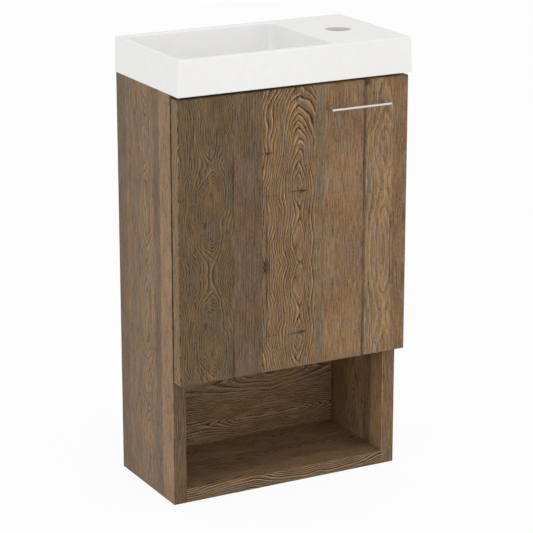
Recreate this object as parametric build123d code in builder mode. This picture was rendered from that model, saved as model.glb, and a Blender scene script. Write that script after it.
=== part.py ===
# A narrow wall-hung vanity base cabinet with its basin: one door over a cupboard, and an open niche below.
# All sizes are in millimetres. X runs across the front, with the hinges on the left (-X) side.
# The back of the cabinet faces +Y, the door faces -Y, and Z = 0 is the underside of the cabinet.
# The origin lies under the middle of the whole object, handle included.

from build123d import *
import os

os.makedirs("parts", exist_ok=True)

# Driving dimensions of the cabinet
carcass_width = 394
carcass_depth = 186
carcass_height = 648
side_thickness = 22
niche_board = 22
niche_height = 183
shelf_board = 22
niche_back_board = 22
rail_board = 16
front_rail_height = 40
rear_rail_height = 80
rear_rail_drop = 48
rear_rail_inset = 18
board_edge_bevel = 0.8

# Driving dimensions of the door
door_gap = 5
door_thickness = 22
door_top_gap = 5
door_overlap_below = 3.5
door_edge_bevel = 1.0

# Driving dimensions of the handle, a thin bow bar
handle_hole_spacing = 96
handle_length = 104
handle_projection = 20
handle_bar_height = 3.2
handle_bar_depth = 4.5
handle_foot_radius = 3.2
handle_foot_length = 9
handle_foot_taper = 4
handle_from_door_top = 37
handle_from_door_edge = 41

# Driving dimensions of the basin, one casting
basin_side_overhang = 3
basin_front_overhang = 7
basin_height = 55
basin_draft = 1.6
basin_corner_radius = 3
basin_top_radius = 2
basin_foot_bevel = 1
apron_wall = 12
deck_thickness = 14
rim_width = 10
front_rim_width = 11
tap_deck_width = 132
bowl_depth = 81
bowl_wall = 9
bowl_draft = 4
bowl_waist_rise = 2
bowl_root = 2
bowl_corner_radius = 16
waist_corner_radius = 24
floor_corner_radius = 34
bowl_lip_radius = 3
floor_edge_radius = 9
tap_hole_radius = 20
tap_lip_radius = 2.5
tap_from_right = 68
tap_from_back = 108
drain_radius = 23
drain_seat_radius = 33
drain_seat_depth = 2.5

# Driving dimensions of the hinges: a cup let into the door, a pin across it and a hooked arm
hinge_from_door_end = 82
cup_radius = 17.5
cup_depth = 13
cup_wall = 1
cup_edge_distance = 4
cup_rim_width = 1.6
cup_rim_thickness = 1.2
cup_flange_height = 9.6
cup_screw_spacing = 48
cup_screw_offset = 9.5
pin_radius = 1.5
pin_edge_distance = 8.5
pin_depth = 8.5
knuckle_radius = 2.5
ear_thickness = 2
arm_width = 9
arm_thickness = 2
arm_bend_radius = 5
arm_length = 64
arm_lift = 7
arm_screw_spacing = 30
channel_wall = 1.2
plate_thickness = 1.6
plate_setback = 37
plate_length = 46
plate_screw_spacing = 32
plate_wing_radius = 6

# Driving dimensions of the joinery and fasteners
dowel_radius = 4
dowel_length = 30
dowel_in_side = 12
dowel_from_front = 26
dowel_from_back = 39
rail_dowel_setback = 11
rear_rail_dowel_spacing = 28
niche_back_dowel_setback = 40
cam_radius = 7.5
cam_depth = 12.5
cam_from_end = 34
cam_from_front = 56
cam_from_back = 69
cam_slot = 2
cam_bolt_radius = 3.5
cam_thread_radius = 2.5
cam_thread_length = 11
handle_screw_radius = 2
handle_screw_bite = 8
cup_screw_radius = 1.75
cup_screw_length = 14
plate_screw_radius = 2.5
plate_screw_length = 12
arm_screw_radius = 2
screw_head_height = 2.4
screw_head_ratio = 2
bumper_radius = 5
bumper_setback = 15

# Driving dimensions of the wall hangers
hanger_width = 16
hanger_depth = 44
hanger_height = 46
hanger_peg_radius = 4
hanger_peg_length = 10
hanger_peg_setback = 9
hanger_peg_spacing = 24
hanger_wall = 3
hook_from_side = 10
hook_thickness = 2.5
hook_reach = 34
hook_neck = 10
hook_nose = 4
hook_drop = 8
hook_below_rail_top = 12
adjuster_radius = 2.5
adjuster_head = 2.5
adjuster_from_floor = 7.5
adjuster_from_roof = 5
wall_plate_width = 46
wall_plate_inset = 2
wall_plate_height = 48
wall_plate_thickness = 2.5
wall_plate_step = 7.5
wall_plate_lip = 9
wall_hole_radius = 3.5
wall_hole_drop = 32

# Dowels are fluted, and small screws, cams and their holes are drawn with this many flats
flutes = 8

# Named clearances
fastener_clearance = 0.1
pin_clearance = 0.05
loose_clearance = 0.5
bumper_clearance = 0.2
bowl_clearance = 4

# Places that follow from the sizes above
overall_depth = carcass_depth + door_gap + door_thickness + handle_projection
back_y = overall_depth / 2
front_y = back_y - carcass_depth
door_back_y = front_y - door_gap
door_front_y = door_back_y - door_thickness
side_x = carcass_width / 2
inner_x = side_x - side_thickness
inner_width = 2 * inner_x
shelf_bottom = niche_board + niche_height
shelf_top = shelf_bottom + shelf_board
door_bottom = shelf_bottom - door_overlap_below
door_top = carcass_height - door_top_gap
door_height = door_top - door_bottom
rear_rail_top = carcass_height - rear_rail_drop
basin_width = carcass_width + 2 * basin_side_overhang
basin_depth = carcass_depth + door_gap + door_thickness + basin_front_overhang
basin_top = carcass_height + basin_height
SIDES = {"left": -1, "right": 1}


def across(x):
    """The plane square to X at x, with its own axes along Y and Z."""
    return Plane(origin=(x, 0, 0), x_dir=(0, 1, 0), z_dir=(1, 0, 0))


def facing_front(y):
    """The plane square to Y at y that looks to the front, with its own axes along X and Z."""
    return Plane(origin=(0, y, 0), x_dir=(1, 0, 0), z_dir=(0, -1, 0))


def save(part, name):
    """Label a finished piece and write it as its own file."""
    part.label = name
    export_step(part, f"parts/{name}.step")


# Joinery points, as places on a side panel's inner face: along Y, then up Z
def along_board(z):
    """Two dowels and two cam fittings along the depth of a horizontal board."""
    dowels = [(front_y + dowel_from_front, z), (back_y - dowel_from_back, z)]
    cams = [(front_y + cam_from_front, z), (back_y - cam_from_back, z)]
    return dowels, cams


bottom_dowels, bottom_cams = along_board(niche_board / 2)
shelf_dowels, shelf_cams = along_board(shelf_bottom + shelf_board / 2)
front_rail_y = front_y + rail_board / 2
front_rail_bottom = carcass_height - front_rail_height
front_rail_dowels = [
    (front_rail_y, front_rail_bottom + rail_dowel_setback),
    (front_rail_y, carcass_height - rail_dowel_setback),
]
rear_rail_back = back_y - rear_rail_inset
rear_rail_y = rear_rail_back - rail_board / 2
rear_rail_bottom = rear_rail_top - rear_rail_height
rear_rail_dowels = [
    (rear_rail_y, rear_rail_bottom + rail_dowel_setback),
    (rear_rail_y, rear_rail_bottom + rail_dowel_setback + rear_rail_dowel_spacing),
]
niche_back_y = back_y - niche_back_board / 2
niche_back_dowels = [
    (niche_back_y, niche_board + niche_back_dowel_setback),
    (niche_back_y, shelf_bottom - niche_back_dowel_setback),
]
dowel_points = bottom_dowels + shelf_dowels + front_rail_dowels + rear_rail_dowels + niche_back_dowels
cam_points = bottom_cams + shelf_cams
dowel_hole = dowel_radius + fastener_clearance
dowel_in_board = dowel_length - dowel_in_side

# Hinge places: the pin runs up through both hinges, a little inside the door's hinge edge
hinge_heights = {"lower": door_bottom + hinge_from_door_end, "upper": door_top - hinge_from_door_end}
pin_x = -side_x + pin_edge_distance
pin_y = door_back_y - pin_depth
cup_x = -side_x + cup_edge_distance + cup_radius
cup_screw_x = cup_x + cup_screw_offset
plate_y = front_y + plate_setback
arm_x = -inner_x + arm_lift

# Handle places
handle_x = side_x - handle_from_door_edge - handle_length / 2
handle_z = door_top - handle_from_door_top
handle_holes = [(handle_x + s * handle_hole_spacing / 2, handle_z) for s in (-1, 1)]

# Hanger places: the hooks pass over notches in the rear rail and drop behind the wall plates' lips
hook_rest = rear_rail_top - hook_below_rail_top
hook_x = inner_x - hook_from_side
hanger_back = rear_rail_back - rail_board - fastener_clearance
hanger_top = hook_rest + hook_neck + hanger_wall + loose_clearance
hanger_pegs = [
    (hanger_back - hanger_peg_setback, hanger_top - hanger_height / 2),
    (hanger_back - hanger_peg_setback - hanger_peg_spacing, hanger_top - hanger_height / 2),
]
hook_notch = (2 * hook_from_side, hook_below_rail_top + hook_drop + 2 * loose_clearance)


# Side panels: faced boards, drilled on the inside for dowels, cam bolts and, on the left, hinge plates
plate_screw_points = [
    (plate_y, z + s * plate_screw_spacing / 2) for z in hinge_heights.values() for s in (-1, 1)
]
for side_name, side in SIDES.items():
    with BuildPart() as side_panel:
        with BuildSketch(across(side * inner_x)):
            with Locations(((front_y + back_y) / 2, carcass_height / 2)):
                Rectangle(carcass_depth, carcass_height)
        extrude(amount=side * side_thickness)
        chamfer(side_panel.edges(), board_edge_bevel)
        with BuildSketch(across(side * inner_x)):
            with Locations(*dowel_points):
                RegularPolygon(dowel_hole, flutes)
        extrude(amount=side * (dowel_in_side + fastener_clearance), mode=Mode.SUBTRACT)
        with BuildSketch(across(side * inner_x)):
            with Locations(*cam_points):
                RegularPolygon(cam_thread_radius + fastener_clearance, flutes)
        extrude(amount=side * (cam_thread_length + fastener_clearance), mode=Mode.SUBTRACT)
        with BuildSketch(across(side * inner_x)):
            with Locations(*hanger_pegs):
                RegularPolygon(hanger_peg_radius + fastener_clearance, flutes)
        extrude(amount=side * (hanger_peg_length + fastener_clearance), mode=Mode.SUBTRACT)
        if side_name == "left":
            with BuildSketch(across(side * inner_x)):
                with Locations(*plate_screw_points):
                    RegularPolygon(plate_screw_radius + fastener_clearance, flutes)
            extrude(amount=side * (plate_screw_length + fastener_clearance), mode=Mode.SUBTRACT)
    save(side_panel.part, f"side_panel_{side_name}")


def horizontal_board(bottom, thickness, dowels, cams, cam_face, cam_into):
    """A board between the sides, with dowel holes in its ends and cam fittings let into one face."""
    with BuildPart() as board:
        with BuildSketch(Plane.XY.offset(bottom)):
            with Locations((0, (front_y + back_y) / 2)):
                Rectangle(inner_width, carcass_depth)
        extrude(amount=thickness)
        chamfer(board.edges().filter_by(Axis.X), board_edge_bevel)
        for side in SIDES.values():
            with BuildSketch(across(side * inner_x)):
                with Locations(*dowels):
                    RegularPolygon(dowel_hole, flutes)
            extrude(amount=-side * (dowel_in_board + fastener_clearance), mode=Mode.SUBTRACT)
            with BuildSketch(across(side * inner_x)):
                with Locations(*cams):
                    RegularPolygon(cam_bolt_radius + fastener_clearance, flutes)
            extrude(amount=-side * (cam_from_end + cam_bolt_radius), mode=Mode.SUBTRACT)
            with BuildSketch(Plane.XY.offset(cam_face)):
                with Locations(*[(side * (inner_x - cam_from_end), y) for y, _ in cams]):
                    RegularPolygon(cam_radius + fastener_clearance, flutes)
            extrude(amount=cam_into * (cam_depth + fastener_clearance), mode=Mode.SUBTRACT)
    return board.part


save(horizontal_board(0, niche_board, bottom_dowels, bottom_cams, 0, 1), "bottom_panel")
save(horizontal_board(shelf_bottom, shelf_board, shelf_dowels, shelf_cams, shelf_top, -1), "niche_shelf")


def upright_board(back, thickness, bottom, height, dowels, notch=None):
    """An upright board between the sides, with dowel holes in its ends and room for the hooks."""
    with BuildPart() as board:
        with BuildSketch(facing_front(back)):
            with Locations((0, bottom + height / 2)):
                Rectangle(inner_width, height)
            if notch:
                notch_width, notch_height = notch
                for side in SIDES.values():
                    with Locations((side * (inner_x - notch_width / 2), bottom + height - notch_height / 2)):
                        Rectangle(notch_width, notch_height, mode=Mode.SUBTRACT)
        extrude(amount=thickness)
        chamfer(board.edges().filter_by(Axis.X), board_edge_bevel)
        for side in SIDES.values():
            with BuildSketch(across(side * inner_x)):
                with Locations(*dowels):
                    RegularPolygon(dowel_hole, flutes)
            extrude(amount=-side * (dowel_in_board + fastener_clearance), mode=Mode.SUBTRACT)
    return board.part


save(upright_board(front_y + rail_board, rail_board, front_rail_bottom, front_rail_height,
                   front_rail_dowels), "front_rail")
save(upright_board(rear_rail_back, rail_board, rear_rail_bottom, rear_rail_height,
                   rear_rail_dowels, hook_notch), "rear_rail")
save(upright_board(back_y, niche_back_board, niche_board, niche_height,
                   niche_back_dowels), "niche_back")


# Joinery: glued beech dowels, steel cam bolts in the sides and round cams that pull on their heads
with BuildPart() as dowels:
    for side in SIDES.values():
        with BuildSketch(across(side * (inner_x + dowel_in_side))):
            with Locations(*dowel_points):
                RegularPolygon(dowel_radius, flutes)
        extrude(amount=-side * dowel_length)
save(dowels.part, "dowels")

cam_head = cam_bolt_radius - fastener_clearance
cam_levels = [(bottom_cams, 0, 1), (shelf_cams, shelf_top, -1)]
with BuildPart() as cam_bolts:
    for side in SIDES.values():
        head_x = inner_x - cam_from_end
        steps = [
            (inner_x + cam_thread_length, head_x + cam_head / 2, cam_thread_radius),
            (head_x + cam_head / 2, head_x - cam_head / 2, cam_head),
        ]
        for start, end, radius in steps:
            with BuildSketch(across(side * start)):
                with Locations(*cam_points):
                    RegularPolygon(radius, flutes)
            extrude(amount=side * (end - start))
save(cam_bolts.part, "cam_bolts")

with BuildPart() as cams:
    for points, face, into in cam_levels:
        for side in SIDES.values():
            centres = [(side * (inner_x - cam_from_end), y) for y, _ in points]
            with BuildSketch(Plane.XY.offset(face)):
                with Locations(*centres):
                    RegularPolygon(cam_radius, flutes)
            extrude(amount=into * cam_depth)
            with BuildSketch(Plane.XY.offset(face)):
                with Locations(*centres):
                    Rectangle(cam_radius, cam_slot)
                    Rectangle(cam_slot, cam_radius)
            extrude(amount=into * cam_slot, mode=Mode.SUBTRACT)
    for side in SIDES.values():
        with BuildSketch(across(side * inner_x)):
            with Locations(*cam_points):
                RegularPolygon(cam_bolt_radius, flutes)
        extrude(amount=-side * (cam_from_end + cam_bolt_radius), mode=Mode.SUBTRACT)
save(cams.part, "cam_housings")


# Basin: a drafted slab, hollow underneath, with a steep-walled bowl on the left and a tap deck on the right
basin_back = back_y
basin_front = back_y - basin_depth
bowl_left = -basin_width / 2 + rim_width
bowl_right = basin_width / 2 - tap_deck_width
bowl_back = basin_back - rim_width
bowl_front = basin_front + front_rim_width
deck_bottom = basin_top - deck_thickness
waist_z = carcass_height + bowl_waist_rise
floor_z = basin_top - bowl_depth


def bowl_section(z, left, right, front, back, radius):
    """A level rectangle with round corners, one slice of the bowl."""
    with BuildSketch(Plane.XY.offset(z)) as section:
        with Locations(((left + right) / 2, (front + back) / 2)):
            RectangleRounded(right - left, back - front, radius)
    return section.sketch


# The bowl's left and front walls lean in, to pass inside the side panel and behind the front rail
waist_left = -inner_x + bowl_clearance + bowl_wall
waist_right = bowl_right - bowl_draft
waist_front = front_y + rail_board + bowl_clearance + bowl_wall
waist_back = bowl_back - bowl_draft
inside_slices = [
    bowl_section(basin_top, bowl_left, bowl_right, bowl_front, bowl_back, bowl_corner_radius),
    bowl_section(waist_z, waist_left, waist_right, waist_front, waist_back, waist_corner_radius),
    bowl_section(floor_z, waist_left + bowl_wall, waist_right - bowl_draft, waist_front + bowl_wall,
                 waist_back - bowl_draft, floor_corner_radius),
]
root_z = deck_bottom + bowl_root
lean = (basin_top - root_z) / (basin_top - waist_z)
outside_slices = [
    bowl_section(root_z, bowl_left + lean * (waist_left - bowl_left) - bowl_wall,
                 bowl_right - lean * bowl_draft + bowl_wall,
                 bowl_front + lean * (waist_front - bowl_front) - bowl_wall,
                 bowl_back - lean * bowl_draft + bowl_wall, bowl_corner_radius + bowl_wall),
    bowl_section(waist_z, waist_left - bowl_wall, waist_right + bowl_wall, waist_front - bowl_wall,
                 waist_back + bowl_wall, waist_corner_radius + bowl_wall),
    bowl_section(floor_z - bowl_wall, waist_left, waist_right - bowl_draft + bowl_wall, waist_front,
                 waist_back - bowl_draft + bowl_wall, floor_corner_radius + bowl_wall),
]
drain_x = (waist_left + waist_right) / 2
drain_y = (waist_front + waist_back) / 2
tap_x = basin_width / 2 - tap_from_right
tap_y = basin_back - tap_from_back

with BuildPart() as basin:
    with BuildSketch(Plane.XY.offset(carcass_height)):
        with Locations((0, (basin_front + basin_back) / 2)):
            RectangleRounded(basin_width, basin_depth, basin_corner_radius)
    with BuildSketch(Plane.XY.offset(basin_top)):
        with Locations((0, (basin_front + basin_back + basin_draft) / 2)):
            RectangleRounded(basin_width - 2 * basin_draft, basin_depth - basin_draft, basin_corner_radius)
    loft(ruled=True)
    fillet(basin.faces().sort_by(Axis.Z)[-1].edges(), basin_top_radius)
    chamfer(basin.faces().sort_by(Axis.Z)[0].edges(), basin_foot_bevel)
    with BuildSketch(Plane.XY.offset(carcass_height)):
        with Locations((0, (basin_front + basin_back) / 2)):
            RectangleRounded(basin_width - 2 * apron_wall, basin_depth - 2 * apron_wall, basin_corner_radius)
    extrude(amount=basin_height - deck_thickness, mode=Mode.SUBTRACT)
    loft(outside_slices, ruled=True)
    loft(inside_slices, mode=Mode.SUBTRACT)
    floor = basin.faces().filter_by(Plane.XY).filter_by(lambda f: abs(f.center().Z - floor_z) < 0.01)[0]
    fillet(floor.edges(), floor_edge_radius)
    with BuildSketch(Plane.XY.offset(basin_top)):
        with Locations((tap_x, tap_y)):
            Circle(tap_hole_radius)
    extrude(amount=-2 * deck_thickness, mode=Mode.SUBTRACT)
    with BuildSketch(Plane.XY.offset(floor_z)):
        with Locations((drain_x, drain_y)):
            Circle(drain_seat_radius)
    extrude(amount=-drain_seat_depth, mode=Mode.SUBTRACT)
    with BuildSketch(Plane.XY.offset(floor_z)):
        with Locations((drain_x, drain_y)):
            Circle(drain_radius)
    extrude(amount=-2 * bowl_wall, mode=Mode.SUBTRACT)
    top = basin.faces().filter_by(Plane.XY).sort_by(Axis.Z)[-1]
    openings = top.inner_wires().sort_by(SortBy.LENGTH)
    fillet(openings[0].edges(), tap_lip_radius)
    fillet(openings[-1].edges(), bowl_lip_radius)
save(basin.part, "basin")


# Door: one faced board, bored on the back for the hinge cups and through for the handle
cup_screw_points = [
    (cup_screw_x, z + s * cup_screw_spacing / 2) for z in hinge_heights.values() for s in (-1, 1)
]
with BuildPart() as door:
    with BuildSketch(facing_front(door_back_y)):
        with Locations((0, (door_bottom + door_top) / 2)):
            Rectangle(carcass_width, door_height)
    extrude(amount=door_thickness)
    chamfer(door.edges(), door_edge_bevel)
    with BuildSketch(facing_front(door_back_y)):
        with Locations(*[(cup_x, z) for z in hinge_heights.values()]):
            Circle(cup_radius + fastener_clearance)
    extrude(amount=cup_depth + fastener_clearance, mode=Mode.SUBTRACT)
    with BuildSketch(facing_front(door_back_y)):
        with Locations(*cup_screw_points):
            RegularPolygon(cup_screw_radius + fastener_clearance, flutes)
    extrude(amount=cup_screw_length, mode=Mode.SUBTRACT)
    with BuildSketch(facing_front(door_back_y)):
        with Locations(*handle_holes):
            RegularPolygon(handle_screw_radius + fastener_clearance, flutes)
    extrude(amount=door_thickness, mode=Mode.SUBTRACT)
save(door.part, "door_panel")

# Clear bumpers on the back of the door, which meet the front edge of the right side panel
bumper_x = side_x - side_thickness / 2
with BuildPart() as bumpers:
    with BuildSketch(facing_front(door_back_y)):
        with Locations((bumper_x, door_bottom + bumper_setback), (bumper_x, door_top - bumper_setback)):
            RegularPolygon(bumper_radius, flutes)
    extrude(amount=-(door_gap - bumper_clearance))
    chamfer(bumpers.faces().filter_by(Plane.XZ).group_by(Axis.Y)[-1].edges(), bumper_radius / 3)
save(bumpers.part, "door_bumpers")


# Handle: a thin bar on two legs, each ending in a turned foot that takes a screw from inside the door
handle_front_y = door_front_y - handle_projection
foot_end = handle_foot_length + handle_foot_taper
with BuildPart() as handle:
    with BuildSketch(facing_front(handle_front_y + handle_bar_depth)):
        with Locations((handle_x, handle_z)):
            Rectangle(handle_length, handle_bar_height)
    extrude(amount=handle_bar_depth)
    leg_width = handle_length - handle_hole_spacing
    for x, z in handle_holes:
        with BuildSketch(facing_front(door_front_y)):
            with Locations((x, z)):
                Rectangle(leg_width, handle_bar_height)
        extrude(amount=handle_projection)
    fillet(handle.edges().filter_by(Axis.X), handle_bar_height / 5)
    for x, z in handle_holes:
        with BuildSketch(Plane(origin=(x, door_front_y, z), x_dir=(1, 0, 0), z_dir=(0, 0, 1))):
            with BuildLine():
                Polyline((0, 0), (handle_foot_radius, 0), (handle_foot_radius, -handle_foot_length),
                         (handle_bar_height / 2, -foot_end), (0, -foot_end), close=True)
            make_face()
        revolve(axis=Axis((x, door_front_y, z), (0, 1, 0)))
    with BuildSketch(facing_front(door_front_y)):
        with Locations(*handle_holes):
            RegularPolygon(handle_screw_radius + fastener_clearance, flutes)
    extrude(amount=handle_screw_bite + fastener_clearance, mode=Mode.SUBTRACT)
save(handle.part, "handle")


def screws(plane, points, radius, length):
    """Pan-headed screws whose shanks run along the plane's normal from under their heads."""
    with BuildPart() as made:
        with BuildSketch(plane):
            with Locations(*points):
                RegularPolygon(radius, flutes)
        extrude(amount=length)
        with BuildSketch(plane):
            with Locations(*points):
                RegularPolygon(radius * screw_head_ratio, flutes)
        extrude(amount=-screw_head_height)
    return made.part


save(screws(facing_front(door_back_y), handle_holes, handle_screw_radius,
            door_thickness + handle_screw_bite), "handle_screws")


# Hinges: a pressed cup let into the door with two ears that hold the pin, a hooked arm that turns on
# the pin and reaches round the side panel's front edge, and a cross-shaped plate under the arm
cup_floor_y = door_back_y - cup_depth + cup_wall
cup_inner_radius = cup_radius - cup_wall
ear_inner = arm_width / 2 + loose_clearance
ear_height = cup_depth - cup_wall - pin_depth + knuckle_radius + cup_wall
ear_left = cup_x - cup_radius + cup_wall / 2
ear_right = pin_x + knuckle_radius + cup_wall
channel_start = front_y + door_gap
channel_end = front_y + arm_length
channel_lip = arm_lift - arm_thickness / 2 - plate_thickness - loose_clearance
block_width = arm_width - 2 * channel_wall - 2 * loose_clearance
block_height = arm_lift - arm_thickness / 2 - plate_thickness - fastener_clearance
plate_top_x = -inner_x + plate_thickness
arm_screw_ys = [plate_y - arm_screw_spacing / 2, plate_y + arm_screw_spacing / 2]

for level, z in hinge_heights.items():
    with BuildPart() as cup:
        with BuildSketch(facing_front(door_back_y)):
            with Locations((cup_x, z)):
                Circle(cup_radius)
        extrude(amount=cup_depth)
        with BuildSketch(facing_front(door_back_y)):
            with Locations((cup_x, z)):
                Circle(cup_radius + cup_rim_width)
            with Locations((cup_screw_x, z)):
                SlotCenterToCenter(cup_screw_spacing, cup_flange_height, rotation=90)
        extrude(amount=-cup_rim_thickness)
        with BuildSketch(facing_front(cup_floor_y)):
            with Locations((cup_x, z)):
                Circle(cup_inner_radius)
        extrude(amount=-(cup_depth + cup_rim_thickness), mode=Mode.SUBTRACT)
        with BuildSketch(facing_front(cup_floor_y + cup_wall / 2)):
            for s in (-1, 1):
                with Locations(((ear_left + ear_right) / 2, z + s * (ear_inner + ear_thickness / 2))):
                    Rectangle(ear_right - ear_left, ear_thickness)
            with Locations((cup_x, z)):
                Circle(cup_radius - cup_wall / 2, mode=Mode.INTERSECT)
        extrude(amount=-ear_height)
        with BuildSketch(Plane.XY.offset(z - ear_inner - ear_thickness)):
            with Locations((pin_x, pin_y)):
                Circle(pin_radius + pin_clearance)
        extrude(amount=2 * (ear_inner + ear_thickness), mode=Mode.SUBTRACT)
        with BuildSketch(facing_front(door_back_y)):
            with Locations(*[(cup_screw_x, z + s * cup_screw_spacing / 2) for s in (-1, 1)]):
                RegularPolygon(cup_screw_radius + fastener_clearance, flutes)
        extrude(amount=-cup_rim_thickness, mode=Mode.SUBTRACT)
    save(cup.part, f"hinge_cup_{level}")

    with BuildPart() as pin:
        with BuildSketch(Plane.XY.offset(z - ear_inner - ear_thickness)):
            with Locations((pin_x, pin_y)):
                Circle(pin_radius)
        extrude(amount=2 * (ear_inner + ear_thickness))
    save(pin.part, f"hinge_pin_{level}")

    with BuildPart() as arm:
        with BuildSketch(Plane.XY.offset(z - arm_width / 2)):
            with BuildLine():
                Line((pin_x, pin_y), (arm_x - arm_bend_radius, pin_y))
                RadiusArc((arm_x - arm_bend_radius, pin_y), (arm_x, pin_y + arm_bend_radius), -arm_bend_radius)
                Line((arm_x, pin_y + arm_bend_radius), (arm_x, channel_end))
            trace(line_width=arm_thickness)
            with Locations((pin_x, pin_y)):
                Circle(knuckle_radius)
                Circle(pin_radius + pin_clearance, mode=Mode.SUBTRACT)
        extrude(amount=arm_width)
        for s in (-1, 1):
            with BuildSketch(Plane.XY.offset(z + s * arm_width / 2)):
                with Locations((arm_x - (arm_thickness + channel_lip) / 2, (channel_start + channel_end) / 2)):
                    Rectangle(channel_lip, channel_end - channel_start)
            extrude(amount=-s * channel_wall)
        with BuildSketch(across(arm_x - arm_thickness / 2)):
            with Locations(*[(y, z) for y in arm_screw_ys]):
                RegularPolygon(arm_screw_radius + fastener_clearance, flutes)
        extrude(amount=arm_thickness, mode=Mode.SUBTRACT)
    save(arm.part, f"hinge_arm_{level}")

    with BuildPart() as plate:
        with BuildSketch(across(-inner_x)):
            with Locations((plate_y, z)):
                Rectangle(plate_length, arm_width)
                SlotCenterToCenter(plate_screw_spacing, 2 * plate_wing_radius, rotation=90)
        extrude(amount=plate_thickness)
        with BuildSketch(across(plate_top_x)):
            with Locations((plate_y, z)):
                Rectangle(plate_length, block_width)
        extrude(amount=block_height)
        with BuildSketch(across(-inner_x)):
            with Locations(*[(plate_y, z + s * plate_screw_spacing / 2) for s in (-1, 1)]):
                RegularPolygon(plate_screw_radius + fastener_clearance, flutes)
        extrude(amount=plate_thickness, mode=Mode.SUBTRACT)
        with BuildSketch(across(-inner_x)):
            with Locations(*[(y, z) for y in arm_screw_ys]):
                RegularPolygon(arm_screw_radius + fastener_clearance, flutes)
        extrude(amount=arm_lift, mode=Mode.SUBTRACT)
    save(plate.part, f"hinge_plate_{level}")

save(screws(facing_front(door_back_y + cup_rim_thickness), cup_screw_points, cup_screw_radius,
            cup_screw_length), "hinge_cup_screws")
into_side = Plane(origin=(plate_top_x, 0, 0), x_dir=(0, -1, 0), z_dir=(-1, 0, 0))
save(screws(into_side, [(-y, z) for y, z in plate_screw_points], plate_screw_radius,
            plate_screw_length + plate_thickness), "hinge_plate_screws")
into_plate = Plane(origin=(arm_x + arm_thickness / 2, 0, 0), x_dir=(0, -1, 0), z_dir=(-1, 0, 0))
save(screws(into_plate, [(-y, z) for y in arm_screw_ys for z in hinge_heights.values()], arm_screw_radius,
            arm_lift + arm_thickness / 2), "hinge_arm_screws")


# Wall hangers: a moulded housing pegged to each side panel, with a steel hook that can be screwed
# up, down, in and out, and a pressed plate for the wall with a stepped lip for the hook
pocket_front = hanger_back - hook_reach
pocket_top = hook_rest + hook_neck + loose_clearance
pocket_bottom = hanger_top - hanger_height + hanger_wall
adjuster_zs = [pocket_bottom + adjuster_from_floor, pocket_top - adjuster_from_roof]
nose_back = back_y - wall_plate_thickness - loose_clearance
for side_name, side in SIDES.items():
    with BuildPart() as housing:
        with BuildSketch(across(side * inner_x)):
            with Locations((hanger_back - hanger_depth / 2, hanger_top - hanger_height / 2)):
                RectangleRounded(hanger_depth, hanger_height, hanger_wall)
        extrude(amount=-side * hanger_width)
        with BuildSketch(across(side * inner_x)):
            with Locations(*hanger_pegs):
                RegularPolygon(hanger_peg_radius, flutes)
        extrude(amount=side * hanger_peg_length)
        with BuildSketch(across(side * hook_x)):
            with Locations(((pocket_front + hanger_back) / 2, (pocket_top + pocket_bottom) / 2)):
                Rectangle(hanger_back - pocket_front, pocket_top - pocket_bottom)
        extrude(amount=hook_thickness / 2 + loose_clearance, both=True, mode=Mode.SUBTRACT)
        with BuildSketch(facing_front(hanger_back - hanger_depth)):
            with Locations(*[(side * hook_x, z) for z in adjuster_zs]):
                RegularPolygon(adjuster_radius + fastener_clearance, flutes)
        extrude(amount=-(pocket_front - hanger_back + hanger_depth), mode=Mode.SUBTRACT)
        with BuildSketch(facing_front(hanger_back - hanger_depth)):
            with Locations(*[(side * hook_x, z) for z in adjuster_zs]):
                RegularPolygon(adjuster_radius * screw_head_ratio + fastener_clearance, flutes)
        extrude(amount=-adjuster_head, mode=Mode.SUBTRACT)
    save(housing.part, f"hanger_housing_{side_name}")

    with BuildPart() as hook:
        with BuildSketch(across(side * hook_x)):
            with BuildLine():
                Polyline(
                    (pocket_front + loose_clearance, pocket_bottom + loose_clearance),
                    (hanger_back - loose_clearance, pocket_bottom + loose_clearance),
                    (hanger_back - loose_clearance, hook_rest),
                    (nose_back - hook_nose, hook_rest),
                    (nose_back - hook_nose, hook_rest - hook_drop),
                    (nose_back, hook_rest - hook_drop),
                    (nose_back, hook_rest + hook_neck),
                    (pocket_front + loose_clearance, hook_rest + hook_neck),
                    close=True,
                )
            make_face()
            fillet(vertices().sort_by(Axis.X)[-2:], hook_nose / 4)
        extrude(amount=hook_thickness / 2, both=True)
    save(hook.part, f"hanger_hook_{side_name}")

    plate_front = back_y - wall_plate_thickness
    lip_back = back_y - wall_plate_step
    lip_front = lip_back - wall_plate_thickness
    plate_low = hook_rest - wall_plate_height
    lip_low = hook_rest - wall_plate_lip
    wall_plate_x = inner_x - wall_plate_width / 2 - wall_plate_inset
    with BuildPart() as wall_plate:
        with BuildSketch(across(side * wall_plate_x)):
            with BuildLine():
                Polyline(
                    (back_y, plate_low), (back_y, lip_low - wall_plate_step),
                    (lip_back, lip_low), (lip_back, hook_rest - fastener_clearance),
                    (lip_front, hook_rest - fastener_clearance), (lip_front, lip_low - wall_plate_thickness / 2),
                    (plate_front, lip_low - wall_plate_step - wall_plate_thickness / 2),
                    (plate_front, plate_low), close=True,
                )
            make_face()
        extrude(amount=wall_plate_width / 2, both=True)
        with BuildSketch(facing_front(back_y)):
            with Locations((side * wall_plate_x, hook_rest - wall_hole_drop)):
                Circle(wall_hole_radius)
        extrude(amount=wall_plate_thickness, mode=Mode.SUBTRACT)
    save(wall_plate.part, f"wall_plate_{side_name}")

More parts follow.
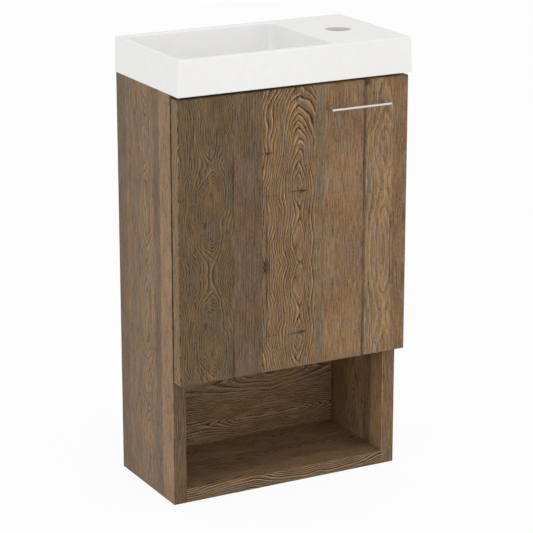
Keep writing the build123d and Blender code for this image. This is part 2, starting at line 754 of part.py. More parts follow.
adjuster_points = [(side * hook_x, z) for side in SIDES.values() for z in adjuster_zs]
with BuildPart() as adjusters:
    with BuildSketch(facing_front(pocket_front)):
        with Locations(*adjuster_points):
            RegularPolygon(adjuster_radius, flutes)
    extrude(amount=pocket_front - hanger_back + hanger_depth)
    with BuildSketch(facing_front(hanger_back - hanger_depth + adjuster_head)):
        with Locations(*adjuster_points):
            RegularPolygon(adjuster_radius * screw_head_ratio, flutes)
    extrude(amount=adjuster_head)
    with BuildSketch(facing_front(hanger_back - hanger_depth)):
        with Locations(*adjuster_points):
            Rectangle(adjuster_radius * 2, adjuster_radius / 2)
            Rectangle(adjuster_radius / 2, adjuster_radius * 2)
    extrude(amount=-adjuster_head / 2, mode=Mode.SUBTRACT)
save(adjusters.part, "hanger_adjusters")
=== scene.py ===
# A narrow vanity base cabinet in textured smoked oak, with a white cast basin: how it looks.
# Metres, in the cabinet's own frame: X across the front, the door faces -Y, Z = 0 is the underside.

import math

import bpy
from mathutils import Matrix, Vector


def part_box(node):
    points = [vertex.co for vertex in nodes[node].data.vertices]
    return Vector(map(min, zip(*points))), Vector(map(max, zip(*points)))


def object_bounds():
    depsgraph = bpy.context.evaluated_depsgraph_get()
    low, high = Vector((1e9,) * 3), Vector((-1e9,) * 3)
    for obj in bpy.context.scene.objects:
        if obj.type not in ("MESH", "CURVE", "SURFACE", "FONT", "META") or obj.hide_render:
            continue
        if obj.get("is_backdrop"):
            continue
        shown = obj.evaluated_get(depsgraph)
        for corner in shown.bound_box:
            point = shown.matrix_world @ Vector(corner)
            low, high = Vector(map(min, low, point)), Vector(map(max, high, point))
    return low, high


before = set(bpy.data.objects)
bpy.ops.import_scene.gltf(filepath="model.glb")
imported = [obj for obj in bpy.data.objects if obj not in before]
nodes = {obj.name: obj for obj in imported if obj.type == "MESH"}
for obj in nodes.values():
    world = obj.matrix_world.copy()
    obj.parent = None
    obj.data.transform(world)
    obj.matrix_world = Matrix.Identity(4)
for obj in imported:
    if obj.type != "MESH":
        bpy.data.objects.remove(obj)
cad_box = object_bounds()


# The room: the cabinet stands on a plain white floor that runs off into white, seen from a little above
# and from the left, through a long lens. Large soft lamps light it evenly from the front, left and top.
camera_at = Vector((-1.607, -2.9945, 1.357))
turned = math.radians(-28.25)
looking_down = math.radians(16.68)
back_to_camera = Vector((
    math.sin(turned) * math.cos(looking_down),
    -math.cos(turned) * math.cos(looking_down),
    math.sin(looking_down),
))
camera = bpy.data.cameras.new("camera")
camera.lens = 153.05
camera.sensor_width = 36
camera.clip_end = 60
camera_object = bpy.data.objects.new("camera", camera)
camera_object.matrix_world = Matrix.Translation(camera_at) @ back_to_camera.to_track_quat("Z", "Y").to_matrix().to_4x4()
bpy.context.scene.collection.objects.link(camera_object)
bpy.context.scene.camera = camera_object
bpy.context.scene.view_settings.view_transform = "Standard"


def put(tree, kind, inputs=None, **settings):
    """Add one shader node: settings are its own properties, inputs are values or sockets to join."""
    made = tree.nodes.new("ShaderNode" + kind)
    for key, value in settings.items():
        setattr(made, key, value)
    for key, value in (inputs or {}).items():
        if isinstance(value, bpy.types.NodeSocket):
            tree.links.new(value, made.inputs[key])
        else:
            made.inputs[key].default_value = value
    return made


def maths(tree, operation, *values):
    """One sum, worked out on numbers or sockets."""
    return put(tree, "Math", dict(enumerate(values)), operation=operation).outputs[0]


def bare_material(name):
    """A new material with nothing in it but its output."""
    material = bpy.data.materials.new(name)
    material.use_nodes = True
    material.node_tree.nodes.clear()
    return material, put(material.node_tree, "OutputMaterial")


floor_reach = 9.0
floor_mesh = bpy.data.meshes.new("floor")
floor_mesh.from_pydata(
    [(x * floor_reach, y * floor_reach, 0) for x, y in ((-1, -1), (1, -1), (1, 1), (-1, 1))], [], [(0, 1, 2, 3)]
)
floor = bpy.data.objects.new("floor", floor_mesh)
bpy.context.scene.collection.objects.link(floor)
floor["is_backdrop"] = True

white_floor, output = bare_material("white_floor")
tree = white_floor.node_tree
# The eye sees the floor as glowing white with a trace of its paint, which keeps the cabinet's shadow
paint = put(tree, "BsdfDiffuse", {"Color": (0.88, 0.88, 0.88, 1)})
glow = put(tree, "Emission", {"Color": (1, 1, 1, 1), "Strength": 1.0})
shadow_share = 0.07
shaded = put(tree, "MixShader", {0: shadow_share, 1: glow.outputs[0], 2: paint.outputs[0]})
path = put(tree, "LightPath")
seen = maths(tree, "MAXIMUM", path.outputs["Is Camera Ray"], path.outputs["Is Glossy Ray"])
seen = maths(tree, "MAXIMUM", seen, path.outputs["Is Transmission Ray"])
surface = put(tree, "MixShader", {0: seen, 1: paint.outputs[0], 2: shaded.outputs[0]})
tree.links.new(surface.outputs[0], output.inputs["Surface"])
floor_mesh.materials.append(white_floor)

world = bpy.data.worlds.new("room")
world.use_nodes = True
bpy.context.scene.world = world
tree = world.node_tree
tree.nodes.clear()
path = put(tree, "LightPath")
seen = maths(tree, "MAXIMUM", path.outputs["Is Camera Ray"], path.outputs["Is Transmission Ray"])
room = put(tree, "Background", {"Color": (1.0, 0.99, 0.975, 1), "Strength": 0.77})
white = put(tree, "Background", {"Color": (1, 1, 1, 1), "Strength": 1.0})
sky = put(tree, "MixShader", {0: seen, 1: room.outputs[0], 2: white.outputs[0]})
put(tree, "OutputWorld", {"Surface": sky.outputs[0]})


def soft_lamp(name, at, towards, size, power):
    """A square soft box, turned to a point."""
    lamp = bpy.data.lights.new(name, "AREA")
    lamp.size = size
    lamp.energy = power
    lamp_object = bpy.data.objects.new(name, lamp)
    aim = Vector(at) - Vector(towards)
    lamp_object.matrix_world = Matrix.Translation(at) @ aim.to_track_quat("Z", "Y").to_matrix().to_4x4()
    bpy.context.scene.collection.objects.link(lamp_object)


cabinet_middle = (0, 0, 0.35)
soft_lamp("front_box", (0.7, -2.6, 1.0), cabinet_middle, 1.4, 8.4)
soft_lamp("left_box", (-2.6, -0.9, 1.2), cabinet_middle, 1.4, 8.4)
soft_lamp("top_box", (0.2, -0.4, 3.0), cabinet_middle, 1.6, 9.6)


# The boards: particle board wrapped in a printed, embossed film of weathered oak planks. The film is
# printed in a book match, so every figure is mirrored above and below one level line across the door.
mirror_height = 370.0


def tone(red, green, blue, ink=(0.88, 0.80, 0.62)):
    """A film colour as the eye sees it, 0 to 255, for a shader. The gloss on the film lightens it."""
    return tuple(part * (value / 255) ** 2.2 for part, value in zip(ink, (red, green, blue))) + (1,)


def group(name, takes, gives):
    """A node group with named number inputs, and its two ends."""
    tree = bpy.data.node_groups.new(name, "ShaderNodeTree")
    for socket, value in takes.items():
        made = tree.interface.new_socket(name=socket, in_out="INPUT", socket_type="NodeSocketFloat")
        made.default_value = value
    for socket in gives:
        tree.interface.new_socket(name=socket, in_out="OUTPUT", socket_type="NodeSocketFloat")
    return tree, tree.nodes.new("NodeGroupInput"), tree.nodes.new("NodeGroupOutput")


def noise(tree, across, along, depth, stretch, detail=2.0, roughness=0.5):
    """Cloudy noise, with so many features a millimetre across and along the grain."""
    place = put(tree, "CombineXYZ", {
        0: maths(tree, "MULTIPLY", across, stretch[0]),
        1: maths(tree, "MULTIPLY", along, stretch[1]),
        2: depth,
    })
    made = put(tree, "TexNoise", {"Vector": place.outputs[0], "Scale": 1.0, "Detail": detail,
                                  "Roughness": roughness})
    return made.outputs["Fac"]


def slope(tree, value, low, high, at_low, at_high):
    """A soft step from one value to another."""
    return put(tree, "MapRange", {0: value, 1: low, 2: high, 3: at_low, 4: at_high},
               interpolation_type="SMOOTHSTEP").outputs[0]


# Growth rings where a saw met a bent trunk: nested ovals and arches around the heart line. Depth is how
# far the heart lies under the face. Side says which flank of the heart a point is on, and Near fades the
# lines out in the smooth heart itself
rings_group, start, end = group(
    "oak_rings",
    {"Across": 0, "Along": 0, "Heart": 0, "Depth": 40, "Pitch": 5, "Wander": 10, "Seed": 0},
    ["Rings", "Side", "Near"],
)
tree = rings_group
slow = noise(tree, start.outputs["Across"], start.outputs["Along"], start.outputs["Seed"], (0.016, 0.010), 1.0)
quick = noise(tree, start.outputs["Across"], start.outputs["Along"], start.outputs["Seed"], (0.05, 0.024), 1.0)
slow_sway, quick_sway, depth_sway, uneven_rings = 2.2, 0.8, 1.0, 2.4
sway = maths(tree, "ADD", maths(tree, "MULTIPLY", maths(tree, "SUBTRACT", slow, 0.5), slow_sway),
             maths(tree, "MULTIPLY", maths(tree, "SUBTRACT", quick, 0.5), quick_sway))
moved = maths(tree, "MULTIPLY_ADD", sway, start.outputs["Wander"], start.outputs["Across"])
aside = maths(tree, "SUBTRACT", moved, start.outputs["Heart"])
# A power of 2 would give round ovals, and 1 would give diamonds
pointed = 1.7
dent = noise(tree, start.outputs["Along"], start.outputs["Across"], start.outputs["Seed"], (0.014, 0.02), 1.0)
deep = maths(tree, "MULTIPLY_ADD", maths(tree, "MULTIPLY", maths(tree, "SUBTRACT", dent, 0.5), depth_sway),
             start.outputs["Wander"], start.outputs["Depth"])
radius = maths(tree, "POWER", maths(tree, "ADD", maths(tree, "POWER", maths(tree, "ABSOLUTE", aside), pointed),
                                    maths(tree, "POWER", maths(tree, "ABSOLUTE", deep), pointed)), 1 / pointed)
count = maths(tree, "DIVIDE", radius, start.outputs["Pitch"])
uneven = noise(tree, count, start.outputs["Along"], start.outputs["Seed"], (0.23, 0.003), 1.0)
rings = maths(tree, "MULTIPLY_ADD", maths(tree, "SUBTRACT", uneven, 0.5), uneven_rings, count)
tree.links.new(rings, end.inputs["Rings"])
tree.links.new(maths(tree, "GREATER_THAN", aside, 0.0), end.inputs["Side"])
tree.links.new(slope(tree, radius, 4.0, 13.0, 0.15, 1.0), end.inputs["Near"])

# A soft spot, for knots, stains and cracks: 1 at its centre, and 0 away from it
spot_group, start, end = group(
    "oak_spot", {"Across": 0, "Along": 0, "At Across": 0, "At Along": 0, "Width": 5, "Length": 5}, ["Spot"]
)
tree = spot_group
away = []
for side, size in (("Across", "Width"), ("Along", "Length")):
    gap = maths(tree, "SUBTRACT", start.outputs[side], start.outputs["At " + side])
    share = maths(tree, "DIVIDE", gap, start.outputs[size])
    away.append(maths(tree, "MULTIPLY", share, share))
far = maths(tree, "ADD", *away)
tree.links.new(maths(tree, "POWER", math.e, maths(tree, "MULTIPLY", far, -1.0)), end.inputs["Spot"])

# The embossed film itself: each ring line is a thin raised lip with a groove on its right, broken up
# along its length, over fine fibres, short open pores and clouds of darker and greyer wood. The lip is
# lightened with a painted highlight, and the groove's printed dark line is deepened by painted shadow, as if
# lit from the left
film_group, start, end = group(
    "oak_film",
    {"Rings": 0, "Side": 1, "Across": 0, "Along": 0, "Figure": 1, "Seed": 0},
    ["Height", "Groove And Shadow", "Painted Highlight", "Fibre", "Pore", "Tick", "Cloud", "Grey"],
)
tree = film_group
across, along, seed = (start.outputs[name] for name in ("Across", "Along", "Seed"))
# Turned over on the heart's other flank, so the painted highlight always lies left of its line and the painted shadow
# right of it
turn = maths(tree, "FRACT", start.outputs["Rings"])
turn = put(tree, "Mix", {"Factor": start.outputs["Side"], "A": maths(tree, "SUBTRACT", 1.0, turn), "B": turn},
           data_type="FLOAT").outputs[0]
lip_and_highlight = maths(tree, "MULTIPLY", slope(tree, turn, 0.05, 0.24, 0.0, 1.0), slope(tree, turn, 0.32, 0.48, 1.0, 0.0))
groove_and_shadow = maths(tree, "MULTIPLY", slope(tree, turn, 0.42, 0.54, 0.0, 1.0), slope(tree, turn, 0.58, 0.76, 1.0, 0.0))
broken = slope(tree, noise(tree, across, along, seed, (0.10, 0.016), 2.0), 0.34, 0.56, 0.45, 1.0)
strength = maths(tree, "MULTIPLY", broken, start.outputs["Figure"])
groove_and_shadow_line = maths(tree, "MULTIPLY", groove_and_shadow, strength)
lip_and_highlight_line = maths(tree, "MULTIPLY", lip_and_highlight, strength)
fibre = slope(tree, noise(tree, across, along, seed, (0.60, 0.030), 4.0, 0.8), 0.34, 0.66, 0.0, 1.0)
pore = slope(tree, noise(tree, across, along, seed, (0.62, 0.15), 2.0, 0.6), 0.54, 0.68, 0.0, 1.0)
tick = slope(tree, noise(tree, across, along, seed, (0.13, 0.80), 2.0, 0.6), 0.56, 0.70, 0.0, 1.0)
cloud = slope(tree, noise(tree, across, along, seed, (0.035, 0.012), 3.0, 0.6), 0.30, 0.70, 0.0, 1.0)
grey = slope(tree, noise(tree, along, across, seed, (0.020, 0.060), 3.0, 0.6), 0.42, 0.66, 0.0, 1.0)
height = maths(tree, "SUBTRACT", lip_and_highlight_line, groove_and_shadow_line)
fibre_height, pore_height = 0.45, -0.35
height = maths(tree, "MULTIPLY_ADD", fibre, fibre_height, height)
height = maths(tree, "MULTIPLY_ADD", pore, pore_height, height)
for name, value in (("Height", height), ("Groove And Shadow", groove_and_shadow_line), ("Painted Highlight", lip_and_highlight_line), ("Fibre", fibre),
                    ("Pore", pore), ("Tick", tick), ("Cloud", cloud), ("Grey", grey)):
    tree.links.new(value, end.inputs[name])


def shift_ramp(tree, value, reach, stops, smooth):
    """A run of values or colours along a length of so many millimetres."""
    ramp = put(tree, "ValToRGB", {0: maths(tree, "DIVIDE", value, reach)})
    ramp.color_ramp.interpolation = "B_SPLINE" if smooth else "CONSTANT"
    for index, (place, colour) in enumerate(stops):
        if isinstance(colour, (int, float)):
            colour = (colour, colour, colour, 1)
        element = ramp.color_ramp.elements[index] if index < 2 else ramp.color_ramp.elements.new(place / reach)
        element.position = place / reach
        element.color = colour
    return ramp.outputs[0]


def oak_board(name, across_axes, along_axes, across_from, along_from, planks, figures, spots, seed=0.0,
              edge=1, edge_painted_shading=1.0):
    """The film on one board, in millimetres across and along the grain from a starting point.

    A plank is its left edge, its colour and the strength of its ring lines. A figure is its left and right
    edge, its heart line, the pitch of its rings, their wander, and the heart's depth along it, in tenths of
    a metre. A spot is its place, width, length, darkness and how far it bends the rings. The edge strip
    that faces down the given axis has bolder ring lines, and its colour is scaled by the edge factor, which
    is painted shade below 1 and painted light above 1."""
    material, output = bare_material(name)
    tree = material.node_tree
    place = put(tree, "TexCoord").outputs["Object"]

    def along_axis(axes, starts_at):
        """Millimetres along a direction, from a starting point."""
        dot = put(tree, "VectorMath", {0: place, 1: [1000 * a for a in axes]}, operation="DOT_PRODUCT")
        return maths(tree, "SUBTRACT", dot.outputs["Value"], starts_at)

    across = along_axis(across_axes, across_from)
    along = maths(tree, "ABSOLUTE", along_axis(along_axes, along_from))
    width = planks[-1][0] + 1
    wobble = maths(tree, "MULTIPLY", maths(tree, "SUBTRACT", noise(tree, across, along, seed, (0.05, 0.03)), 0.5), 3.0)
    joint = maths(tree, "ADD", across, wobble)
    colours = shift_ramp(tree, joint, width, [(start, tone(*colour)) for start, colour, _ in planks], False)
    lines = shift_ramp(tree, joint, width, [(start, line) for start, _, line in planks], False)

    straight_pitch, straight_sway = 2.6, 1.6
    rings = maths(tree, "DIVIDE", maths(tree, "MULTIPLY_ADD", wobble, straight_sway, across), straight_pitch)
    side = 1.0
    seed_step = 3.7
    for index, (start, stop, heart, pitch, wander, depths) in enumerate(figures):
        depth = maths(tree, "MULTIPLY", shift_ramp(tree, along, depths[-1][0] + 1, depths, True), 100.0)
        bent = put(tree, "Group", {
            "Across": across, "Along": along, "Heart": heart, "Depth": depth, "Pitch": pitch, "Wander": wander,
            "Seed": seed + seed_step * index,
        }, node_tree=rings_group)
        inside = maths(tree, "MULTIPLY", maths(tree, "GREATER_THAN", joint, float(start)),
                       maths(tree, "LESS_THAN", joint, float(stop)))
        rings = put(tree, "Mix", {"Factor": inside, "A": rings, "B": bent.outputs["Rings"]},
                    data_type="FLOAT").outputs[0]
        side = put(tree, "Mix", {"Factor": inside, "A": side, "B": bent.outputs["Side"]},
                   data_type="FLOAT").outputs[0]
        near = put(tree, "Mix", {"Factor": inside, "A": 1.0, "B": bent.outputs["Near"]}, data_type="FLOAT").outputs[0]
        lines = maths(tree, "MULTIPLY", lines, near)

    dark = None
    for at_across, at_along, wide, long, darkness, swirl in spots:
        spot = put(tree, "Group", {
            "Across": joint, "Along": along, "At Across": at_across, "At Along": at_along, "Width": wide,
            "Length": long,
        }, node_tree=spot_group)
        if swirl:
            rings = maths(tree, "MULTIPLY_ADD", spot.outputs[0], swirl, rings)
        stain = maths(tree, "MULTIPLY", spot.outputs[0], darkness)
        dark = stain if dark is None else maths(tree, "ADD", dark, stain)

    outward = put(tree, "SeparateXYZ", {0: put(tree, "TexCoord").outputs["Normal"]}).outputs[edge]
    on_edge = maths(tree, "LESS_THAN", outward, -0.9)
    coarser = 0.7
    lines = maths(tree, "MULTIPLY_ADD", on_edge, coarser, lines)
    film = put(tree, "Group", {
        "Rings": rings, "Side": side, "Across": across, "Along": along, "Figure": lines, "Seed": seed,
    }, node_tree=film_group)

    # How much lighter or darker each part of the print is than the plank's own colour; the lip's lightening is
    # painted highlight, and the groove's darkening is print with painted shadow
    shade = 1.0
    for part, middle, strength in (("Groove And Shadow", 0, -0.85), ("Painted Highlight", 0, 1.0), ("Fibre", 0.5, 0.9), ("Pore", 0, -0.42),
                                   ("Tick", 0, -0.26), ("Cloud", 0.5, 0.30)):
        shade = maths(tree, "MULTIPLY_ADD", maths(tree, "SUBTRACT", film.outputs[part], middle), strength, shade)
    if dark is not None:
        darkest_spot = 0.75
        spots_shade = maths(tree, "SUBTRACT", 1.0, maths(tree, "MINIMUM", dark, darkest_spot))
        shade = maths(tree, "MULTIPLY", shade, spots_shade)
    # Painted light and shade on the edge strip: its colour is scaled by the edge factor, darker below 1, lighter above
    # 1
    shade = maths(tree, "MULTIPLY", shade, maths(tree, "MULTIPLY_ADD", on_edge, edge_painted_shading - 1.0, 1.0))
    colour = put(tree, "VectorMath", {0: colours, "Scale": shade}, operation="SCALE").outputs[0]
    greyed = put(tree, "HueSaturation", {"Color": colour, "Saturation": 0.74, "Value": 0.95}).outputs[0]
    greyest = 0.75
    greying = maths(tree, "MULTIPLY", film.outputs["Grey"], greyest)
    colour = put(tree, "Mix", {"Factor": greying, "A": colour, "B": greyed}, data_type="RGBA").outputs[2]
    roughness, rougher = 0.52, 0.2
    rough = maths(tree, "MULTIPLY_ADD", film.outputs["Groove And Shadow"], rougher, roughness)
    bump = put(tree, "Bump", {"Strength": 0.9, "Distance": 0.0007, "Height": film.outputs["Height"]})
    finish = put(tree, "BsdfPrincipled", {"Base Color": colour, "Roughness": rough, "Normal": bump.outputs[0],
                                          "Specular IOR Level": 0.35})
    tree.links.new(finish.outputs[0], output.inputs["Surface"])
    return material


def dress(material, *names):
    """Give CAD nodes their material."""
    for name in names:
        for index in range(max(1, len(nodes[name].data.materials))):
            if nodes[name].data.materials:
                nodes[name].data.materials[index] = material
            else:
                nodes[name].data.materials.append(material)


# Door: one particle board, faced and edged with the film, bored on the back for its hinges. Its film shows
# eight planks side by side. The first and third carry the boldest figure, and the seam before the last
# two is dark and worn.
door_low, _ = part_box("door_panel")
door_planks = [
    (0, (114, 93, 67), 0.65),
    (91, (120, 97, 76), 0.75),
    (140, (138, 110, 82), 0.92),
    (231, (134, 113, 91), 0.4),
    (246, (148, 118, 89), 0.3),
    (314, (120, 97, 77), 0.4),
    (320, (153, 125, 96), 0.3),
    (367, (141, 111, 82), 0.4),
]
door_figures = [
    (0, 91, 50, 3.2, 16, [(0, 0.26), (26, 0.26), (62, 0.06), (92, 0.0), (130, 0.02), (152, 0.14), (172, 0.22),
                          (200, 0.08), (280, 0.0)]),
    (140, 231, 205, 4.0, 13, [(0, 0.13), (35, 0.0), (70, 0.13), (95, 0.09), (112, 0.02), (180, 0.20), (250, 0.38),
                              (280, 0.48)]),
    (320, 367, 353, 8, 1.0, [(0, 0.0), (30, 0.02), (70, 0.13), (110, 0.22), (150, 0.1), (175, 0.04), (210, 0.2),
                             (280, 0.3)]),
]
door_spots = [
    (54, 124, 3, 3, 0.45, 1.2),
    (42, 81, 3, 4, 0.4, 1.2),
    (91, 144, 1.2, 36, 0.95, 0),
    (145, 4, 5, 6, 0.75, 1.0),
    (147, 50, 1.5, 60, 0.7, 0),
    (152, 12, 1.2, 40, 0.6, 0),
    (207, 112, 5, 3.5, 0.75, 1.6),
    (200, 113, 9, 1.0, 0.5, 0),
    (150, 177, 8, 2.2, 0.75, 0.9),
    (158, 111, 12, 0.8, 0.45, 0),
    (192, 113, 9, 0.9, 0.4, 0),
    (317, 140, 1.8, 70, 0.6, 0),
    (321, 268, 6, 5, 0.5, 0.8),
    (238, 120, 3.0, 50, 0.22, 0),
    (262, 55, 1.2, 12, 0.3, 0),
    (300, 190, 1.0, 30, 0.25, 0),
    (322, 270, 5, 4, 0.65, 1.0),
    (365, 22, 0.9, 30, 0.8, 0),
    (342, 20, 0.8, 34, 0.4, 0),
    (348, 60, 0.8, 12, 0.4, 0),
    (360, 62, 0.8, 12, 0.4, 0),
    (357, 160, 1.5, 14, 0.3, 0.6),
]
# The door's left edge strip is painted 1.75 times as light, as painted light
door_oak = oak_board("door_oak", (1, 1, 0), (0, 0, 1), 1000 * (door_low.x + door_low.y), mirror_height,
                     door_planks, door_figures, door_spots, 0.0, 0, 1.75)
dress(door_oak, "door_panel")


# Sides: two tall faced boards that carry everything else, held to the level boards by dowels and cams.
# Their film is from a smoother part of the print, with a dark joint near the front edge.
side_planks = [
    (0, (158, 128, 100), 0.2),
    (36, (130, 106, 85), 0.3),
    (59, (142, 116, 90), 0.4),
    (109, (136, 110, 85), 0.3),
    (153, (123, 99, 78), 0.3),
    (181, (116, 94, 73), 0.3),
    (208, (121, 96, 70), 0.3),
]
side_figures = [(59, 109, 84, 3.6, 12, [(0, 0.4), (110, 0.1), (200, 0.5), (300, 0.2)])]
side_spots = [
    (21, 35, 4, 5, 0.4, 0.8),
    (48, 150, 6, 120, 0.14, 0),
    (59, 132, 6, 3, 0.35, 0.6),
    (100, 170, 8, 2, 0.2, 0),
    (120, 226, 3, 4, 0.4, 0.7),
    (88, 214, 6, 2, 0.3, 0.4),
    (75, 60, 1.0, 20, 0.35, 0),
    (140, 150, 1.0, 50, 0.3, 0),
]
# The sides' front edge strips are painted about half as bright, as painted shade
for name, seed, paler, edge_painted_shading in (("side_panel_left", 11.0, 1.0, 0.53), ("side_panel_right", 23.0, 1.09, 0.58)):
    low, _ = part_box(name)
    planks = [(start, [paler * part for part in colour], line) for start, colour, line in side_planks]
    board_oak = oak_board(name + "_oak", (1, 1, 0), (0, 0, 1), 1000 * (low.x + low.y), mirror_height,
                          planks, side_figures, side_spots, seed, 1, edge_painted_shading)
    dress(board_oak, name)


# Niche boards and rails: boards between the sides, cut so that the same film runs across the cabinet.
# The bottom, shelf and back make the open niche, and the two rails tie the sides together at the top.
flat_planks = [
    (0, (145, 118, 92), 0.9),
    (60, (139, 113, 90), 0.7),
    (120, (145, 120, 94), 0.9),
    (208, (141, 114, 89), 0.8),
]
flat_figures = [(0, 60, 30, 2.8, 6, [(0, 0.1), (60, 0.05), (120, 0.25), (250, 0.1)]),
                (60, 120, 100, 2.6, 6, [(0, 0.3), (150, 0.5), (250, 0.4)]),
                (120, 208, 160, 2.8, 8, [(0, 0.25), (90, 0.05), (200, 0.2), (260, 0.1)])]
# The bottom's and shelf's front edge strips are painted a little darker, as painted shade; the other boards' are not
for name, seed, edge, edge_painted_shading in (("bottom_panel", 31.0, 1, 0.85), ("niche_shelf", 37.0, 1, 0.85),
                                    ("niche_back", 44.0, 2, 1.0), ("front_rail", 47.0, 2, 1.0),
                                    ("rear_rail", 53.0, 2, 1.0)):
    low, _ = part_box(name)
    board_oak = oak_board(name + "_oak", (0, 1, 1), (1, 0, 0), 1000 * (low.y + low.z), 60.0,
                          flat_planks, flat_figures, [], seed, edge, edge_painted_shading)
    dress(board_oak, name)


# Basin: one casting of ground marble in resin under a glossy white gel coat, which goes into the mould
# first. It lies on the top edges of the cabinet and is bedded there with silicone.
basin_white, output = bare_material("basin_gel_coat")
tree = basin_white.node_tree
place = put(tree, "TexCoord").outputs["Object"]
ripple = put(tree, "TexNoise", {"Vector": place, "Scale": 14.0, "Detail": 1.0}).outputs["Fac"]
speck = put(tree, "TexNoise", {"Vector": place, "Scale": 90.0, "Detail": 2.0}).outputs["Fac"]
bump = put(tree, "Bump", {"Strength": 0.05, "Distance": 0.002, "Height": ripple})
colour = put(tree, "MapRange", {"Value": speck, "From Min": 0.3, "From Max": 0.7})
tint = put(tree, "Mix", {"Factor": colour.outputs[0], "A": (0.89, 0.89, 0.89, 1), "B": (0.91, 0.91, 0.91, 1)},
           data_type="RGBA")
gloss = put(tree, "MapRange", {"Value": ripple, "From Min": 0.3, "From Max": 0.7, "To Min": 0.10, "To Max": 0.17})
finish = put(tree, "BsdfPrincipled", {"Base Color": tint.outputs[2], "Roughness": gloss.outputs[0],
                                      "Normal": bump.outputs[0]})
tree.links.new(finish.outputs[0], output.inputs["Surface"])
dress(basin_white, "basin")


# Handle: a thin bar of brushed steel with a satin nickel coat, on two turned feet. Each foot takes a
# screw from the inside of the door.
def bright_metal(name, colour, grain, low, high, relief=0.15):
    """Bare or plated metal: rubbed along one way, with a gloss that varies from place to place."""
    material, output = bare_material(name)
    tree = material.node_tree
    place = put(tree, "TexCoord").outputs["Object"]
    drawn = put(tree, "VectorMath", {0: place, 1: grain}, operation="MULTIPLY").outputs[0]
    rubbed = put(tree, "TexNoise", {"Vector": drawn, "Scale": 1.0, "Detail": 3.0}).outputs["Fac"]
    handled = put(tree, "TexNoise", {"Vector": place, "Scale": 120.0, "Detail": 2.0}).outputs["Fac"]
    mixed = maths(tree, "MULTIPLY_ADD", handled, 0.4, maths(tree, "MULTIPLY", rubbed, 0.6))
    gloss = put(tree, "MapRange", {"Value": mixed, "From Min": 0.35, "From Max": 0.65, "To Min": low, "To Max": high})
    dull = tuple(0.82 * part for part in colour) + (1,)
    tarnish = put(tree, "Mix", {"Factor": mixed, "A": dull, "B": colour + (1,)}, data_type="RGBA")
    bump = put(tree, "Bump", {"Strength": relief, "Distance": 0.0001, "Height": rubbed})
    finish = put(tree, "BsdfPrincipled", {"Base Color": tarnish.outputs[2], "Metallic": 1.0,
                                          "Roughness": gloss.outputs[0], "Normal": bump.outputs[0]})
    tree.links.new(finish.outputs[0], output.inputs["Surface"])
    return material


satin_nickel = bright_metal("satin_nickel", (0.74, 0.73, 0.69), (40, 2600, 2600), 0.25, 0.42)
dress(satin_nickel, "handle")


# Hinges: cups, arms and cross plates, pressed from steel strip and nickel-plated. The cups are let into
# the door, the plates are screwed to the left side, and the arms are clamped over the plates.
nickel_steel = bright_metal("nickel_steel", (0.66, 0.65, 0.61), (900, 300, 900), 0.18, 0.32)
dress(nickel_steel, "hinge_cup_lower", "hinge_cup_upper", "hinge_arm_lower", "hinge_arm_upper",
      "hinge_plate_lower", "hinge_plate_upper")


# Screws, pins and bolts: steel wire, headed and zinc-plated. The pins join cups and arms, and the bolts
# stand in the sides, where the cams pull on their heads.
bright_steel = bright_metal("bright_steel", (0.60, 0.62, 0.64), (1400, 1400, 1400), 0.28, 0.45)
dress(bright_steel, "hinge_pin_lower", "hinge_pin_upper", "handle_screws", "hinge_cup_screws", "hinge_plate_screws",
      "hinge_arm_screws", "cam_bolts", "hanger_adjusters")


# Cams: small drums cast in zinc, with a cross slot for the screwdriver. They are let into the hidden
# faces of the bottom and the shelf.
zinc_casting = bright_metal("zinc_casting", (0.50, 0.51, 0.52), (1800, 1800, 1800), 0.42, 0.62, 0.4)
dress(zinc_casting, "cam_housings")


# Dowels: short beech rods, turned, fluted and glued into the ends of the boards. They keep the boards
# in line while the cams pull them tight.
beech, output = bare_material("beech")
tree = beech.node_tree
place = put(tree, "TexCoord").outputs["Object"]
drawn = put(tree, "VectorMath", {0: place, 1: (120, 1500, 1500)}, operation="MULTIPLY").outputs[0]
fleck = put(tree, "TexNoise", {"Vector": drawn, "Scale": 1.0, "Detail": 3.0}).outputs["Fac"]
shade = put(tree, "Mix", {"Factor": fleck, "A": (0.36, 0.22, 0.11, 1), "B": (0.62, 0.43, 0.26, 1)}, data_type="RGBA")
bump = put(tree, "Bump", {"Strength": 0.4, "Distance": 0.0002, "Height": fleck})
finish = put(tree, "BsdfPrincipled", {"Base Color": shade.outputs[2], "Roughness": 0.6, "Normal": bump.outputs[0]})
tree.links.new(finish.outputs[0], output.inputs["Surface"])
dress(beech, "dowels")


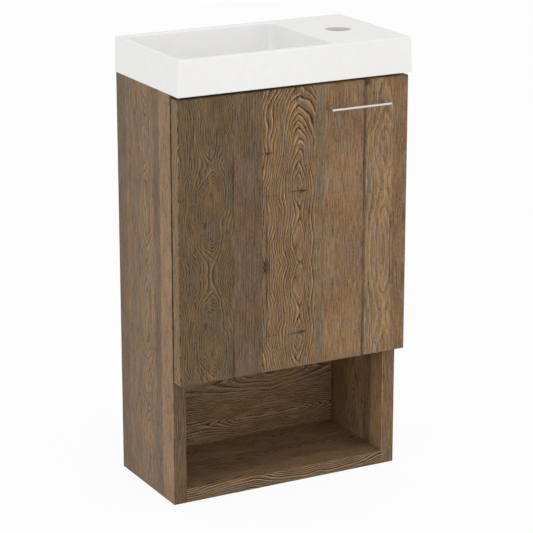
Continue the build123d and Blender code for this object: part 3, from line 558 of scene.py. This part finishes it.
# Bumpers: clear soft rubber buttons, stuck to the back of the door. They meet the right side's front
# edge when the door shuts.
clear_rubber, output = bare_material("clear_rubber")
tree = clear_rubber.node_tree
place = put(tree, "TexCoord").outputs["Object"]
dust = put(tree, "TexNoise", {"Vector": place, "Scale": 900.0, "Detail": 2.0}).outputs["Fac"]
cloudy = put(tree, "Mix", {"Factor": dust, "A": (0.62, 0.64, 0.64, 1), "B": (0.80, 0.82, 0.82, 1)}, data_type="RGBA")
gloss = put(tree, "MapRange", {"Value": dust, "From Min": 0.3, "From Max": 0.7, "To Min": 0.25, "To Max": 0.40})
finish = put(tree, "BsdfPrincipled", {"Base Color": cloudy.outputs[2], "Roughness": gloss.outputs[0],
                                      "Transmission Weight": 0.5, "IOR": 1.45})
tree.links.new(finish.outputs[0], output.inputs["Surface"])
dress(clear_rubber, "door_bumpers")


# Wall hangers: housings moulded in white plastic and pegged to the sides, with pressed and zinc-plated
# hooks that catch on two steel plates screwed to the wall.
white_plastic, output = bare_material("white_plastic")
tree = white_plastic.node_tree
place = put(tree, "TexCoord").outputs["Object"]
spark = put(tree, "TexNoise", {"Vector": place, "Scale": 700.0, "Detail": 2.0}).outputs["Fac"]
ageing = put(tree, "TexNoise", {"Vector": place, "Scale": 25.0, "Detail": 2.0}).outputs["Fac"]
shade = put(tree, "Mix", {"Factor": ageing, "A": (0.70, 0.70, 0.68, 1), "B": (0.80, 0.80, 0.79, 1)}, data_type="RGBA")
gloss = put(tree, "MapRange", {"Value": spark, "From Min": 0.3, "From Max": 0.7, "To Min": 0.38, "To Max": 0.52})
bump = put(tree, "Bump", {"Strength": 0.2, "Distance": 0.0001, "Height": spark})
finish = put(tree, "BsdfPrincipled", {"Base Color": shade.outputs[2], "Roughness": gloss.outputs[0],
                                      "Normal": bump.outputs[0]})
tree.links.new(finish.outputs[0], output.inputs["Surface"])
dress(white_plastic, "hanger_housing_left", "hanger_housing_right")
dress(bright_steel, "hanger_hook_left", "hanger_hook_right", "wall_plate_left", "wall_plate_right")


size = {"cad": [list(corner) for corner in cad_box], "visual": [list(corner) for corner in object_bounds()]}
